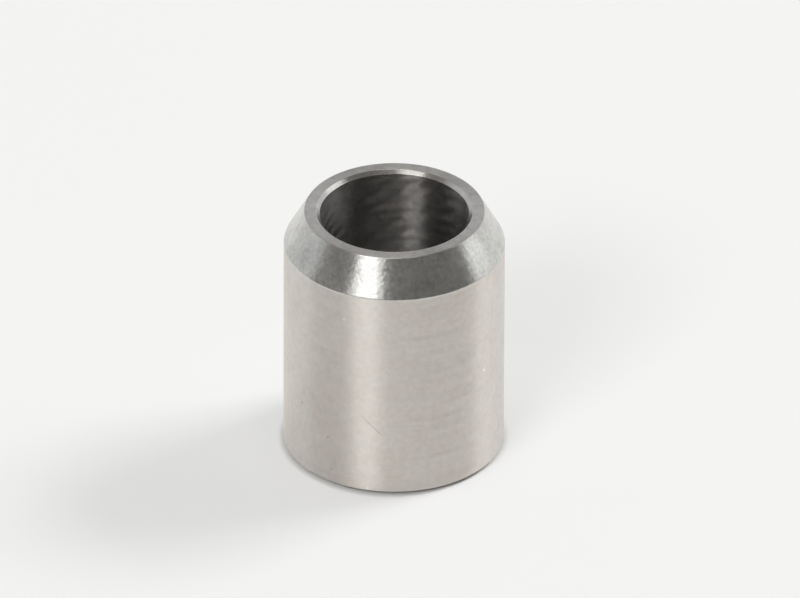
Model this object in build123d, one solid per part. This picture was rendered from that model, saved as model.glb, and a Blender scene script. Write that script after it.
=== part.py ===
from build123d import *
import os

# Spacer sleeve with a conical nose: one turned ring of stainless steel, bored right through.
# Millimetres. The axis is +Z and the origin is the centre of the foot's flat face.

# ---- Driving dimensions ----

bore_diameter = 8.1        # clears an 8 mm bolt
wall_thickness = 1.95      # from the bore to the ground outside
sleeve_length = 14.5       # from the foot's face to the nose's face

nose_length = 2.0          # height of the cone
nose_face_width = 0.63     # flat ring left round the mouth at the small end

mouth_chamfer = 0.2        # 45 degrees, where the bore opens in the nose's face
foot_bore_chamfer = 0.2    # 45 degrees, where the bore opens in the foot's face
foot_edge_chamfer = 0.25   # 45 degrees, round the outside of the foot

shoulder_round = 0.2       # radius where the cone meets the ground outside
rim_round = 0.06           # radius where the cone meets the nose's face

# ---- What follows from them ----

bore_radius = bore_diameter / 2
body_radius = bore_radius + wall_thickness
rim_radius = bore_radius + mouth_chamfer + nose_face_width
shoulder_height = sleeve_length - nose_length


def turned_blank():
    """Half the wall's section, from the bore to the outside, turned once round the axis."""
    wall_section = Polyline(
        (bore_radius, 0, 0),
        (body_radius, 0, 0),
        (body_radius, 0, shoulder_height),
        (rim_radius, 0, sleeve_length),
        (bore_radius, 0, sleeve_length),
        close=True,
    )
    return revolve(make_face(wall_section), axis=Axis.Z)


def corner(part, radius, height):
    """The round corner of the part that has this radius and lies at this height."""
    rings = part.edges().filter_by(GeomType.CIRCLE)
    return min(rings, key=lambda ring: abs(ring.radius - radius) + abs(ring.arc_center.Z - height))


def break_edges(sleeve):
    """Chamfers at the three corners a lathe tool breaks, and the small rounds at both ends of the cone."""
    sleeve = chamfer(corner(sleeve, bore_radius, sleeve_length), mouth_chamfer)
    sleeve = chamfer(corner(sleeve, bore_radius, 0), foot_bore_chamfer)
    sleeve = chamfer(corner(sleeve, body_radius, 0), foot_edge_chamfer)
    sleeve = fillet(corner(sleeve, body_radius, shoulder_height), shoulder_round)
    return fillet(corner(sleeve, rim_radius, sleeve_length), rim_round)


os.makedirs("parts", exist_ok=True)
export_step(break_edges(turned_blank()), "parts/sleeve.step")
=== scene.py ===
# %% [markdown]
# # A turned spacer sleeve
# A spacer sleeve keeps two things a set distance apart on a bolt. This one is a single ring of stainless
# steel: a bar was bored through, its outside was ground, its nose was turned to a short cone, and it was
# cut off. One piece of metal has six finishes here, because each tool leaves its own marks. The lesson
# builds the ring as one surface of revolution and then finishes each stretch of it as its own tool did.

# %% Load the frame
import math
import bpy
import numpy as np
from mathutils import Euler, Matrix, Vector


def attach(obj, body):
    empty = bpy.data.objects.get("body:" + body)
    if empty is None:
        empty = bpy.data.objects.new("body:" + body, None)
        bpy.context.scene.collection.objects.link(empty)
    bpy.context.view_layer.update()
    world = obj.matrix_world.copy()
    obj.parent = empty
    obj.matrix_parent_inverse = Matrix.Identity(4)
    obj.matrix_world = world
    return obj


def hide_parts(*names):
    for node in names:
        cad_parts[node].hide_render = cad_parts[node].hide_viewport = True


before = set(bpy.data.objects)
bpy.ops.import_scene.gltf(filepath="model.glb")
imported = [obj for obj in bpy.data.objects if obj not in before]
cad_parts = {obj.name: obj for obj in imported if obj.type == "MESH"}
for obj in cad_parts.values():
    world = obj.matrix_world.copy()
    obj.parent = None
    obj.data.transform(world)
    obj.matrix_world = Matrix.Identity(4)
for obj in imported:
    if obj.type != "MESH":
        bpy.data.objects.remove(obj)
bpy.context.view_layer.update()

# %% [markdown]
# ## Read the section from the frame
# The CAD model of a turned part is a stack of rings, and every corner of its section is one ring of
# vertices. Reading the radius and height of those rings gives each size that the surface needs, so
# nothing is measured twice: if the bore or the nose changes in the CAD model, this surface follows it.

# %% Sizes of the section
MM = 0.001
CLOSE = 0.0001 * MM   # two rings nearer than this share a radius or a height

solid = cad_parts["sleeve"].data
places = np.empty(3 * len(solid.vertices), np.float32)
solid.vertices.foreach_get("co", places)
x, y, ring_height = places.reshape(-1, 3).T.astype(float)
ring_radius = np.hypot(x, y)


def reach(values, chosen):
    """Lowest and highest of the values that are chosen."""
    return values[chosen].min(), values[chosen].max()


bore_radius, body_radius = ring_radius.min(), ring_radius.max()
top = ring_height.max()
foot_inner, foot_outer = reach(ring_radius, ring_height < CLOSE)
face_inner, face_outer = reach(ring_radius, ring_height > top - CLOSE)
bore_low, bore_high = reach(ring_height, ring_radius < bore_radius + CLOSE)
body_low, body_high = reach(ring_height, ring_radius > body_radius - CLOSE)
print(f"bore {2 * bore_radius / MM:.2f} mm, outside {2 * body_radius / MM:.2f} mm, length {top / MM:.2f} mm")

# %% [markdown]
# The cone's two ends are rounded, so its rings don't show where its sharp corners would be. A straight
# line through the middle of the cone finds them: one corner is where the line meets the outside, the
# other where it meets the nose's face. How far each round bites into its neighbour then gives its
# radius, because a round of radius r at a corner that turns by an angle t starts r tan(t / 2) from the
# corner.

# %% The cone and its rounds
middle = (ring_height > 0.75 * body_high + 0.25 * top) & (ring_height < 0.25 * body_high + 0.75 * top)
taper, at_zero = np.polyfit(ring_height[middle], ring_radius[middle], 1)
cone_angle = math.atan(-taper)
shoulder_height = (body_radius - at_zero) / taper
rim_radius = at_zero + taper * top
shoulder_round = (shoulder_height - body_high) / math.tan(cone_angle / 2)
rim_round = (rim_radius - face_outer) / math.tan((math.pi / 2 - cone_angle) / 2)
cone_height = top - shoulder_height
print(f"cone {math.degrees(cone_angle):.1f} degrees from the axis, {cone_height / MM:.2f} mm high")
print(f"rounds {shoulder_round / MM:.2f} and {rim_round / MM:.2f} mm")

# %% [markdown]
# ## Carry the section round the axis
# A lathe makes a surface of revolution: one closed outline, carried round the axis. So the mesh is a
# grid of two parameters, the place along the outline and the angle round the axis, and it closes on
# itself both ways. The outline is a few corners. Each is rounded a little, because even a crisp machined
# edge has a width, and that width is what catches the light.

# %% The outline with rounded corners
EDGE_BREAK = 0.03 * MM    # what tumbling leaves on a corner that no tool has rounded


def rounded_outline(corners, rounds, arc_points=9):
    """Replaces each corner of a closed outline by an arc of that radius, tangent to both sides. The arc
    starts r tan(t / 2) before the corner, where t is the angle turned, and its points lie at equal
    angles about a centre that is r from both sides. Returns the outline's points and, for each, the
    number of its corner."""
    points, owners = [], []
    for index, (corner, radius) in enumerate(zip(corners, rounds)):
        arriving = corner - corners[index - 1]
        leaving = corners[(index + 1) % len(corners)] - corner
        arriving, leaving = arriving / np.linalg.norm(arriving), leaving / np.linalg.norm(leaving)
        turned = math.atan2(arriving[0] * leaving[1] - arriving[1] * leaving[0], arriving @ leaving)
        start = corner - arriving * radius * math.tan(abs(turned) / 2)
        to_centre = math.copysign(1, turned) * np.array([-arriving[1], arriving[0]])
        angle = np.linspace(0, abs(turned), arc_points)[:, None]
        points.append(start + radius * (np.sin(angle) * arriving + (1 - np.cos(angle)) * to_centre))
        owners.append(np.full(arc_points, index))
    return np.concatenate(points), np.concatenate(owners)


corners = np.array([
    (bore_radius, bore_low), (foot_inner, 0), (foot_outer, 0), (body_radius, body_low),
    (body_radius, shoulder_height), (rim_radius, top), (face_inner, top), (bore_radius, bore_high),
])
rounds = [EDGE_BREAK] * 4 + [shoulder_round, rim_round] + [EDGE_BREAK] * 2
outline, corner_of = rounded_outline(corners, rounds)
print(len(outline), "points on the rounded outline")

# %% [markdown]
# The straight runs between the rounds get points of their own. The bore needs many, since it carries
# real tool marks, and the ground outside needs few. A zone number goes with every run, and later picks
# its finish. The arc at each corner belongs to the run that leaves it.

# %% Points along the runs
ZONES = ["foot chamfer", "foot", "foot edge", "body", "cone", "nose face", "mouth", "bore"]
SPACING = np.array([0.08, 0.15, 0.06, 0.25, 0.05, 0.06, 0.05, 0.05]) * MM


def with_runs(points, owners):
    """Divides each straight run, from the last point of one corner's arc to the first of the next, into
    equal steps no longer than its zone's spacing."""
    filled, zones = [], []
    for index, (point, zone) in enumerate(zip(points, owners)):
        following = (index + 1) % len(points)
        steps = 1
        if owners[following] != zone:
            steps = math.ceil(np.linalg.norm(points[following] - point) / SPACING[zone])
        share = np.arange(steps)[:, None] / steps
        filled.append(point + share * (points[following] - point))
        zones.append(np.full(steps, zone))
    return np.concatenate(filled), np.concatenate(zones)


section, zone_of = with_runs(outline, corner_of)
ahead = np.roll(section, -1, axis=0) - section
run = np.concatenate([[0], np.cumsum(np.linalg.norm(ahead, axis=1))])
section_length = run[-1]
print(len(section), "points round a section", round(section_length / MM, 2), "mm long")

# %% [markdown]
# ## Tool marks in the bore
# A boring bar is thin, and it bends and springs as it cuts. It leaves a shallow helical groove, one turn
# for each turn of the work, that wanders a little in depth. These marks are deep enough to break up a
# reflection, so they are modelled as real shape. The bore's radius is a sum of waves: the helix, and
# slow waves round and along the bore.

# %% The bored surface
FEED = 0.46 * MM            # advance in one turn
GROOVE_DEPTH = 0.0040 * MM
WANDER_DEPTH = 0.0115 * MM  # several times deeper than real marks, which wouldn't show at this size
MARKS_FADE = 0.15 * MM      # the marks die out over this much at each end of the bore
AROUND_COUNT = 200          # points round the axis

rng = np.random.default_rng(8)


def feed_marks(height, angle):
    """Depth of the bore's marks. The helix is cos(angle + 2 pi height / feed), squared to give round
    grooves with sharp crests. Its strength follows two slow sines along the bore, which repeat after 3.1
    and 1.3 mm. The wander is a sum of eight waves with whole numbers of crests round the bore, so that
    the surface closes on itself."""
    phase = angle + 2 * math.pi * height / FEED
    along = 2 * math.pi * height / MM
    strength = 0.6 + 0.4 * np.sin(along / 3.1) * np.sin(along / 1.3)
    groove = GROOVE_DEPTH * strength * np.cos(phase / 2) ** 2
    wander = np.zeros(np.broadcast(height, angle).shape)
    waves = zip(rng.integers(3, 21, 8), rng.uniform(0.5, 1.5, 8) * MM, rng.uniform(0, 6.28, 8))
    for lobes, length, start in waves:
        wander += WANDER_DEPTH / 8 ** 0.5 * np.sin(lobes * angle + 2 * math.pi * height / length + start)
    return groove + wander


angle = np.arange(AROUND_COUNT) * 2 * math.pi / AROUND_COUNT
radius = np.repeat(section[:, :1], AROUND_COUNT, axis=1)
height = np.repeat(section[:, 1:], AROUND_COUNT, axis=1)
in_bore = (zone_of == ZONES.index("bore"))[:, None]
from_mouth = np.clip((bore_high - EDGE_BREAK - height) / MARKS_FADE, 0, 1)
from_foot = np.clip((height - bore_low - EDGE_BREAK) / MARKS_FADE, 0, 1)
radius += in_bore * from_mouth * from_foot * feed_marks(height, angle[None, :])
print("bore radius, mm:", np.round(reach(radius / MM, in_bore & (from_mouth > 0)), 4))

# %% [markdown]
# ## Make the mesh
# The grid's points go straight into a mesh. The faces wind so that they point out of the metal. The
# surface also gets a map of its own: across the map runs the angle round the axis, and up it the way
# along the section. Grinding and turning marks follow those two directions, so every finish below can
# read them.

# %% Build the sleeve
def grid_mesh(name, points):
    """A mesh from a grid of points that closes both ways. Each face joins a point to the next one round
    the axis and the next one along the section. Returns the mesh, and the row and column of each face."""
    rows, columns = points.shape[:2]
    row, column = np.meshgrid(np.arange(rows), np.arange(columns), indexing="ij")
    next_row, next_column = (row + 1) % rows, (column + 1) % columns
    quads = np.stack([
        row * columns + column, row * columns + next_column,
        next_row * columns + next_column, next_row * columns + column,
    ], axis=-1).reshape(-1, 4)
    mesh = bpy.data.meshes.new(name)
    mesh.vertices.add(rows * columns)
    mesh.vertices.foreach_set("co", points.reshape(-1).astype(np.float32))
    mesh.loops.add(quads.size)
    mesh.loops.foreach_set("vertex_index", quads.reshape(-1).astype(np.int32))
    mesh.polygons.add(len(quads))
    mesh.polygons.foreach_set("loop_start", np.arange(0, quads.size, 4, dtype=np.int32))
    mesh.update(calc_edges=True)
    mesh.shade_smooth()
    return mesh, row.reshape(-1), column.reshape(-1)


points = np.stack([radius * np.cos(angle), radius * np.sin(angle), height], axis=-1)
mesh, face_row, face_column = grid_mesh("sleeve_metal", points)

unrolled = mesh.uv_layers.new(name="unrolled")
left, right = face_column / AROUND_COUNT, (face_column + 1) / AROUND_COUNT
low, high = run[face_row] / section_length, run[face_row + 1] / section_length
corner_places = np.stack([left, low, right, low, right, high, left, high], axis=-1)
unrolled.uv.foreach_set("vector", corner_places.reshape(-1).astype(np.float32))

sleeve = bpy.data.objects.new("sleeve_metal", mesh)
bpy.context.scene.collection.objects.link(sleeve)
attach(sleeve, "root")
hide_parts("sleeve")
print(len(mesh.vertices), "vertices,", 2 * len(mesh.polygons), "triangles when cut in two")

# %% [markdown]
# ## Helpers for the finishes
# Colours are written as sRGB hex, as a picture editor shows them, and the shader wants linear numbers. A
# material is a small tree of nodes, so one helper adds a node with its settings and links. Sockets go by
# name where names differ, and by number in Math and Mix nodes. A Mix node's colours are 6 and 7 going in
# and 2 coming out.

# %% Colour and node helpers
def linear(hex_colour):
    """sRGB hex to linear red, green, blue and alpha: each channel over 12.92 when small, else a power of
    2.4."""
    channels = [int(hex_colour[i:i + 2], 16) / 255 for i in (1, 3, 5)]
    return (*[c / 12.92 if c <= 0.04045 else ((c + 0.055) / 1.055) ** 2.4 for c in channels], 1)


def node(tree, kind, inputs=(), **settings):
    """Adds a node. The settings are its own properties. The inputs map a socket's name or number to a
    value, or to the output that feeds it."""
    made = tree.nodes.new("ShaderNode" + kind)
    for name, value in settings.items():
        setattr(made, name, value)
    for name, value in dict(inputs).items():
        if isinstance(value, bpy.types.NodeSocket):
            tree.links.new(value, made.inputs[name])
        else:
            made.inputs[name].default_value = value
    return made


def new_material(name):
    """An empty material with its output node. Returns it, its tree and the output."""
    material = bpy.data.materials.new(name)
    material.use_nodes = True
    material.node_tree.nodes.clear()
    return material, material.node_tree, node(material.node_tree, "OutputMaterial")


# %% [markdown]
# ## Marks of use
# The ground outside has been handled. It carries a few small specks, some darker and some lighter than
# the steel round them, and one fine slanting scratch low on its front. They change only the brightness,
# since they are far too shallow to show as shape.

# %% Specks and a scratch
SPECKS_PER_MM = 0.8
SPECK_CORE, SPECK_EDGE = 0.05, 0.09                   # a speck is full to one and gone by the other
DARKEST_SPECK, LIGHTEST_SPECK = -0.45, 0.35           # change of brightness
SCRATCH = np.array([(-1.85, 5.06), (-0.49, 3.70)])    # its ends across the front and up it, mm
SCRATCH_WIDTH = 0.03                                  # to each side, mm
SCRATCH_SHADE = -0.3


def wear(tree, place):
    """Change of brightness from specks and one scratch. Specks are cells of a Voronoi pattern close to
    their centre, each darker or lighter by its own random amount. The scratch is where the distance from
    its line, n . p - n . a, is small and the place along it lies between its ends."""
    cells = node(tree, "TexVoronoi", {"Vector": place, "Scale": SPECKS_PER_MM})
    near = node(tree, "MapRange", {
        "Value": cells.outputs["Distance"], "From Min": SPECK_CORE, "From Max": SPECK_EDGE,
        "To Min": 1, "To Max": 0,
    }).outputs[0]
    amount = node(tree, "SeparateColor", {0: cells.outputs["Color"]}).outputs[0]
    signed = node(tree, "MapRange", {
        "Value": amount, "To Min": DARKEST_SPECK, "To Max": LIGHTEST_SPECK}).outputs[0]
    specks = node(tree, "Math", {0: near, 1: signed}, operation="MULTIPLY").outputs[0]

    length = np.linalg.norm(SCRATCH[1] - SCRATCH[0])
    along = (SCRATCH[1] - SCRATCH[0]) / length
    across = np.array([-along[1], along[0]])
    nearness = []
    for axis, centre, half in ((across, SCRATCH[0], SCRATCH_WIDTH), (along, SCRATCH.mean(0), length / 2)):
        reached = node(tree, "VectorMath", {0: place, 1: (axis[0], 0, axis[1])}, operation="DOT_PRODUCT")
        off = node(tree, "Math", {
            0: reached.outputs["Value"], 1: float(axis @ centre)}, operation="SUBTRACT").outputs[0]
        distance = node(tree, "Math", {0: off}, operation="ABSOLUTE").outputs[0]
        nearness.append(node(tree, "MapRange", {
            "Value": distance, "From Min": half * 0.5, "From Max": half, "To Min": 1, "To Max": 0,
        }).outputs[0])
    depth = node(tree, "SeparateXYZ", {0: place}).outputs["Y"]
    front = node(tree, "Math", {0: depth, 1: 0}, operation="LESS_THAN").outputs[0]
    line = node(tree, "Math", {0: nearness[0], 1: nearness[1]}, operation="MULTIPLY").outputs[0]
    scratch = node(tree, "Math", {0: line, 1: front}, operation="MULTIPLY").outputs[0]
    return node(tree, "Math", {
        0: scratch, 1: SCRATCH_SHADE, 2: specks}, operation="MULTIPLY_ADD").outputs[0]


# %% [markdown]
# ## Steel, finished by different tools
# Stainless steel reflects a little over half of the light, slightly warm. What changes from stretch to
# stretch is the direction and the size of the scratches. Every tool here went round the axis, so every
# scratch does too, and a scratched metal spreads light across its scratches and hardly at all along
# them. That is anisotropy: the highlight becomes a streak at right angles to the marks. The Tangent node
# gives the direction of the marks, from the surface's own map, and the rotation of a quarter turn lays
# the streak across them.
#
# The marks also vary from one to the next, so a noise is drawn out round the axis into fine bands. The
# real marks are a hundredth of a millimetre wide, too fine to show at this size, and the bands are drawn
# coarser.

# %% One recipe for turned and ground steel
PATCHES_PER_MM = 0.9
ROUND_THE_AXIS = 0.15     # how fast a band changes round the axis, as a share of how fast it does across
UNEVEN = 0.07             # how far the roughness strays to either side, as a share of it


def lathe_steel(name, colour, roughness, anisotropy, bands, band_depth, grain, grain_depth, mottle,
                second_colour=None, worn=False):
    """Steel with marks round the axis. Bands and grain are counted per millimetre: bands run round the
    axis, and grain is the small uneven dimpling between them. The depths set how far each tips the
    surface, and mottle how far the brightness wanders. Patches lean towards the second colour."""
    material, tree, output = new_material(name)
    object_place = node(tree, "TexCoord").outputs["Object"]
    place = node(tree, "VectorMath", {0: object_place, 1: (1 / MM,) * 3}, operation="MULTIPLY").outputs[0]
    sides = node(tree, "VectorMath", {
        0: place, 1: (ROUND_THE_AXIS, ROUND_THE_AXIS, 0)}, operation="MULTIPLY").outputs[0]
    unrolled_place = node(tree, "UVMap", uv_map="unrolled").outputs[0]
    across = node(tree, "SeparateXYZ", {0: unrolled_place}).outputs["Y"]
    step = node(tree, "Math", {0: across, 1: section_length / MM * bands}, operation="MULTIPLY").outputs[0]
    drawn_out = node(tree, "VectorMath", {
        0: sides, 1: node(tree, "CombineXYZ", {"Z": step}).outputs[0]}, operation="ADD").outputs[0]

    streaks = node(tree, "TexNoise", {
        "Vector": drawn_out, "Scale": 1, "Detail": 3, "Roughness": 0.6}).outputs[0]
    dimples = node(tree, "TexNoise", {
        "Vector": place, "Scale": grain, "Detail": 3, "Roughness": 0.6}).outputs[0]
    patches = node(tree, "TexNoise", {
        "Vector": place, "Scale": PATCHES_PER_MM, "Detail": 4, "Roughness": 0.6}).outputs[0]
    both = node(tree, "Math", {0: patches, 1: dimples}, operation="ADD").outputs[0]

    shade = node(tree, "MapRange", {
        "Value": both, "From Min": 0.7, "From Max": 1.3, "To Min": 1 - mottle, "To Max": 1 + mottle,
    }).outputs[0]
    if worn:
        shade = node(tree, "Math", {0: shade, 1: wear(tree, place)}, operation="ADD").outputs[0]
    lean = node(tree, "MapRange", {"Value": patches, "From Min": 0.4, "From Max": 0.6}).outputs[0]
    hue = node(tree, "Mix", {
        0: lean, 6: linear(colour), 7: linear(second_colour or colour)}, data_type="RGBA").outputs[2]
    tinted = node(tree, "VectorMath", {0: hue, "Scale": shade}, operation="SCALE").outputs[0]
    rough = node(tree, "MapRange", {
        "Value": streaks, "From Min": 0.3, "From Max": 0.7,
        "To Min": roughness * (1 - UNEVEN), "To Max": roughness * (1 + UNEVEN),
    })
    fine = node(tree, "Bump", {"Height": dimples, "Strength": 1, "Distance": grain_depth})
    relief = node(tree, "Bump", {
        "Height": streaks, "Strength": 1, "Distance": band_depth, "Normal": fine.outputs[0]})
    shader = node(tree, "BsdfPrincipled", {
        "Base Color": tinted,
        "Metallic": 1,
        "Roughness": rough.outputs[0],
        "Anisotropic": anisotropy,
        "Anisotropic Rotation": 0.25,
        "Normal": relief.outputs[0],
        "Tangent": node(tree, "Tangent", direction_type="UV_MAP", uv_map="unrolled").outputs[0],
    })
    tree.links.new(shader.outputs[0], output.inputs["Surface"])
    return material


# %% [markdown]
# Six finishes follow from the one recipe. An even finish such as grinding has a strong direction and
# little dimpling, so its streaks are long and soft. A bright one has a low roughness, and shows the room
# in clear bands.

# %% Six finishes
# Ground between wheels: fine, even scratches, so light lies on it in long soft streaks.
ground_outside = lathe_steel(
    "ground_outside", "#E7E0D9", roughness=0.39, anisotropy=0.975, bands=6, band_depth=0.0004 * MM,
    grain=3, grain_depth=0.0012 * MM, mottle=0.07, second_colour="#E3DFD8", worn=True)
# Turned with a sharp tool at a fine feed: almost a mirror, a little uneven, so its bands have crisp edges.
bright_cone = lathe_steel(
    "bright_turned_cone", "#D0CFCB", roughness=0.25, anisotropy=0.67, bands=9, band_depth=0.0002 * MM,
    grain=4.5, grain_depth=0.0085 * MM, mottle=0.18)
# Chamfered by the same tool in one short cut: bright, and it glints where it faces a window.
bright_edge = lathe_steel(
    "bright_cut_edge", "#D3D0CC", roughness=0.22, anisotropy=0.5, bands=9, band_depth=0.0002 * MM,
    grain=3, grain_depth=0.0050 * MM, mottle=0.12)
# Chamfered at the parting cut: a little rough, with its colour painted darker as shade, so it reads as a
# thin dark line at the foot.
painted_shade_edge = lathe_steel(
    "painted_shade_cut_edge", "#AEABA6", roughness=0.34, anisotropy=0.3, bands=9, band_depth=0.0002 * MM,
    grain=3, grain_depth=0.0025 * MM, mottle=0.06)
# Faced across the end: rings of shallow marks, so it stays an even mid grey from every side.
faced = lathe_steel(
    "faced_end", "#C8C4C0", roughness=0.38, anisotropy=0.75, bands=8, band_depth=0.0004 * MM,
    grain=3, grain_depth=0.0070 * MM, mottle=0.16)
# Bored with a thin bar: the coarsest marks, deep in shade, and with its colour painted darker than the other
# steel as shade too, so one broken streak crosses a dark wall.
bored = lathe_steel(
    "bored_wall", "#AFACA9", roughness=0.37, anisotropy=1, bands=5, band_depth=0.0004 * MM,
    grain=2.5, grain_depth=0.0030 * MM, mottle=0.22)

FINISH = {"foot chamfer": painted_shade_edge, "foot": faced, "foot edge": painted_shade_edge, "body": ground_outside,
          "cone": bright_cone, "nose face": faced, "mouth": bright_edge, "bore": bored}
kinds = list(dict.fromkeys(FINISH.values()))
for kind in kinds:
    mesh.materials.append(kind)
finish_of_zone = np.array([kinds.index(FINISH[zone]) for zone in ZONES], np.int32)
mesh.polygons.foreach_set("material_index", finish_of_zone[zone_of[face_row]])
print(len(kinds), "finishes:", [kind.name for kind in kinds])

# %% [markdown]
# ## The floor
# Bright metal shows mostly what stands round it. A plain white sheet under the sleeve fills its lower half
# with light and keeps its soft shadows. A part of its white is its own, seen by the camera and in
# reflections, which keeps the shadows as pale as a bright exposure shows them. Close round the foot that
# part is left out, which paints a thin dark contact shadow where the sleeve and the sheet touch.

# %% The white sheet
FLOOR_SIDE = 6.0
SHEET = "#F4F4F3"
OWN_LIGHT = 0.4                               # share of the sheet's look that shadows don't reach
# the dark line round the foot is a painted contact shadow: the sheet's own white is left out there
GLOOM_FROM, GLOOM_TO = 0.10 * MM, 0.30 * MM   # the dark line round the foot fades out between these

paper, tree, output = new_material("white_paper")
sheet = node(tree, "BsdfPrincipled", {
    "Base Color": linear(SHEET), "Roughness": 0.9, "Specular IOR Level": 0.1})
glow = node(tree, "Emission", {"Color": linear(SHEET), "Strength": 1})
path = node(tree, "LightPath")
from_axis = node(tree, "VectorMath", {0: node(tree, "TexCoord").outputs["Object"]}, operation="LENGTH")
clear = node(tree, "MapRange", {
    "Value": from_axis.outputs["Value"], "From Min": body_radius + GLOOM_FROM,
    "From Max": body_radius + GLOOM_TO, "To Max": OWN_LIGHT,
}).outputs[0]
mirrored = node(tree, "Math", {
    0: path.outputs["Is Glossy Ray"], 1: path.outputs["Is Transmission Ray"]}, operation="MAXIMUM")
seen = node(tree, "Math", {0: path.outputs["Is Camera Ray"], 1: mirrored.outputs[0]}, operation="MAXIMUM")
share = node(tree, "Math", {0: seen.outputs[0], 1: clear}, operation="MULTIPLY")
mixed = node(tree, "MixShader", {0: share.outputs[0], 1: sheet.outputs[0], 2: glow.outputs[0]})
tree.links.new(mixed.outputs[0], output.inputs["Surface"])

floor_mesh = bpy.data.meshes.new("floor")
side = FLOOR_SIDE / 2
floor_corners = [(-side, -side, 0), (side, -side, 0), (side, side, 0), (-side, side, 0)]
floor_mesh.from_pydata(floor_corners, [], [(0, 1, 2, 3)])
floor_mesh.materials.append(paper)
floor = bpy.data.objects.new("floor", floor_mesh)
bpy.context.scene.collection.objects.link(floor)

# %% [markdown]
# ## Light
# Two windows light the sleeve, one ahead and to the left, one on the right. Each is a bright core in a
# wide pale surround, which the metal shows as a highlight and its soft edge. Each also has a glare that
# only the sheet sees. It casts the shadow, so the depth of a shadow and the strength of a highlight can
# be set apart. A lamp overhead lights the sheet evenly.

# %% Softboxes on a dome
LAMP_DISTANCE = 1.2


def softbox(name, azimuth, elevation, wide, tall, radiance, shown=True):
    """A rectangular lamp on a dome round the sleeve, facing it. Azimuth is 0 at the camera's side and
    grows to the right. The angles wide and tall are how large it looks from the sleeve. A lamp's power
    is radiance times area times pi. One that isn't shown lights the sheet and stays out of the metal's
    reflections."""
    across, up = (2 * LAMP_DISTANCE * math.tan(math.radians(angle) / 2) for angle in (wide, tall))
    lamp = bpy.data.lights.new(name, "AREA")
    lamp.shape, lamp.size, lamp.size_y = "RECTANGLE", across, up
    lamp.energy = radiance * across * up * math.pi
    placed = bpy.data.objects.new(name, lamp)
    placed.visible_glossy = shown
    turn, rise = math.radians(azimuth), math.radians(elevation)
    towards = Vector((math.sin(turn) * math.cos(rise), -math.cos(turn) * math.cos(rise), math.sin(rise)))
    placed.location = towards * LAMP_DISTANCE
    placed.rotation_euler = towards.to_track_quat("Z", "Y").to_euler()
    bpy.context.scene.collection.objects.link(placed)


# azimuth, elevation, how wide and how tall in degrees, then radiance
softbox("window_left", -30.5, 38, 19, 14, 4.0)
softbox("window_left_glare", -29, 38, 22, 14, 4.9, shown=False)
softbox("window_left_haze", -30, 38, 29, 44, 1.0)
softbox("window_right", 119, 41, 24, 14.5, 0.7)
softbox("window_right_glare", 117, 41, 20, 14.5, 16.7, shown=False)
softbox("window_right_haze", 101, 24, 28, 40, 0.4)
softbox("ceiling", 0, 84, 24, 20, 3.1)
print(len(bpy.data.lights), "lamps on the dome")

# %% [markdown]
# The room is pale behind the sleeve and dark ahead of it and high up. The dark half is what gives the
# cone its bands: polished metal with nothing dark to reflect looks like paint. The nose's flat face
# shows the pale half.

# %% The room
BEHIND_LEFT, BEHIND_RIGHT = "#CACCCE", "#D8DADC"
AHEAD_LEFT, AHEAD_RIGHT = "#868482", "#6F6E6C"
DARK_FROM, PALE_FROM = -0.06, 0.02    # how far back the room turns from dark to pale, as a part of 1
PALE_UNDER, DARK_OVER = 0.55, 0.85    # how high up it turns dark again
LEFT_FROM, RIGHT_FROM = -0.8, 0.4     # how far across the left colours turn into the right ones

room = bpy.data.worlds.new("room")
room.use_nodes = True
tree = room.node_tree
tree.nodes.clear()
direction = node(tree, "SeparateXYZ", {0: node(tree, "TexCoord").outputs["Generated"]})
to_right = node(tree, "MapRange", {
    "Value": direction.outputs["X"], "From Min": LEFT_FROM, "From Max": RIGHT_FROM}).outputs[0]
to_back = node(tree, "MapRange", {
    "Value": direction.outputs["Y"], "From Min": DARK_FROM, "From Max": PALE_FROM}).outputs[0]
not_high = node(tree, "MapRange", {
    "Value": direction.outputs["Z"], "From Min": PALE_UNDER, "From Max": DARK_OVER, "To Min": 1, "To Max": 0,
}).outputs[0]
behind = node(tree, "Mix", {
    0: to_right, 6: linear(BEHIND_LEFT), 7: linear(BEHIND_RIGHT)}, data_type="RGBA").outputs[2]
ahead = node(tree, "Mix", {
    0: to_right, 6: linear(AHEAD_LEFT), 7: linear(AHEAD_RIGHT)}, data_type="RGBA").outputs[2]
pale = node(tree, "Math", {0: to_back, 1: not_high}, operation="MULTIPLY").outputs[0]
walls = node(tree, "Mix", {0: pale, 6: ahead, 7: behind}, data_type="RGBA").outputs[2]
glow = node(tree, "Background", {"Color": walls, "Strength": 1})
tree.links.new(glow.outputs[0], node(tree, "OutputWorld").inputs["Surface"])
bpy.context.scene.world = room

# %% [markdown]
# ## Camera
# Small parts are often taken with a long lens from well back, and that leaves almost no perspective: the
# sleeve's sides stay parallel. The camera looks down on the sleeve by about a third of a right angle.

# %% A long lens
CAMERA_DISTANCE = 1.338
CAMERA_ELEVATION = math.radians(32.13)
CAMERA_ROLL = math.radians(0.25)
VIEW_WIDTH = 43.44 * MM     # what the picture takes in at the aim point
AIM = Vector((0.32 * MM, 0, 8.83 * MM))

lens = bpy.data.cameras.new("camera")
lens.sensor_width = 36
lens.lens = lens.sensor_width * CAMERA_DISTANCE / VIEW_WIDTH
lens.clip_start, lens.clip_end = 0.1, 20
camera = bpy.data.objects.new("camera", lens)
back = Vector((0, -math.cos(CAMERA_ELEVATION), math.sin(CAMERA_ELEVATION)))
camera.location = AIM + CAMERA_DISTANCE * back
roll = Euler((0, 0, CAMERA_ROLL)).to_quaternion()
camera.rotation_euler = (back.to_track_quat("Z", "Y") @ roll).to_euler()
bpy.context.scene.collection.objects.link(camera)
bpy.context.scene.camera = camera
bpy.context.scene.view_settings.view_transform = "Standard"
print(f"lens {lens.lens:.0f} mm")
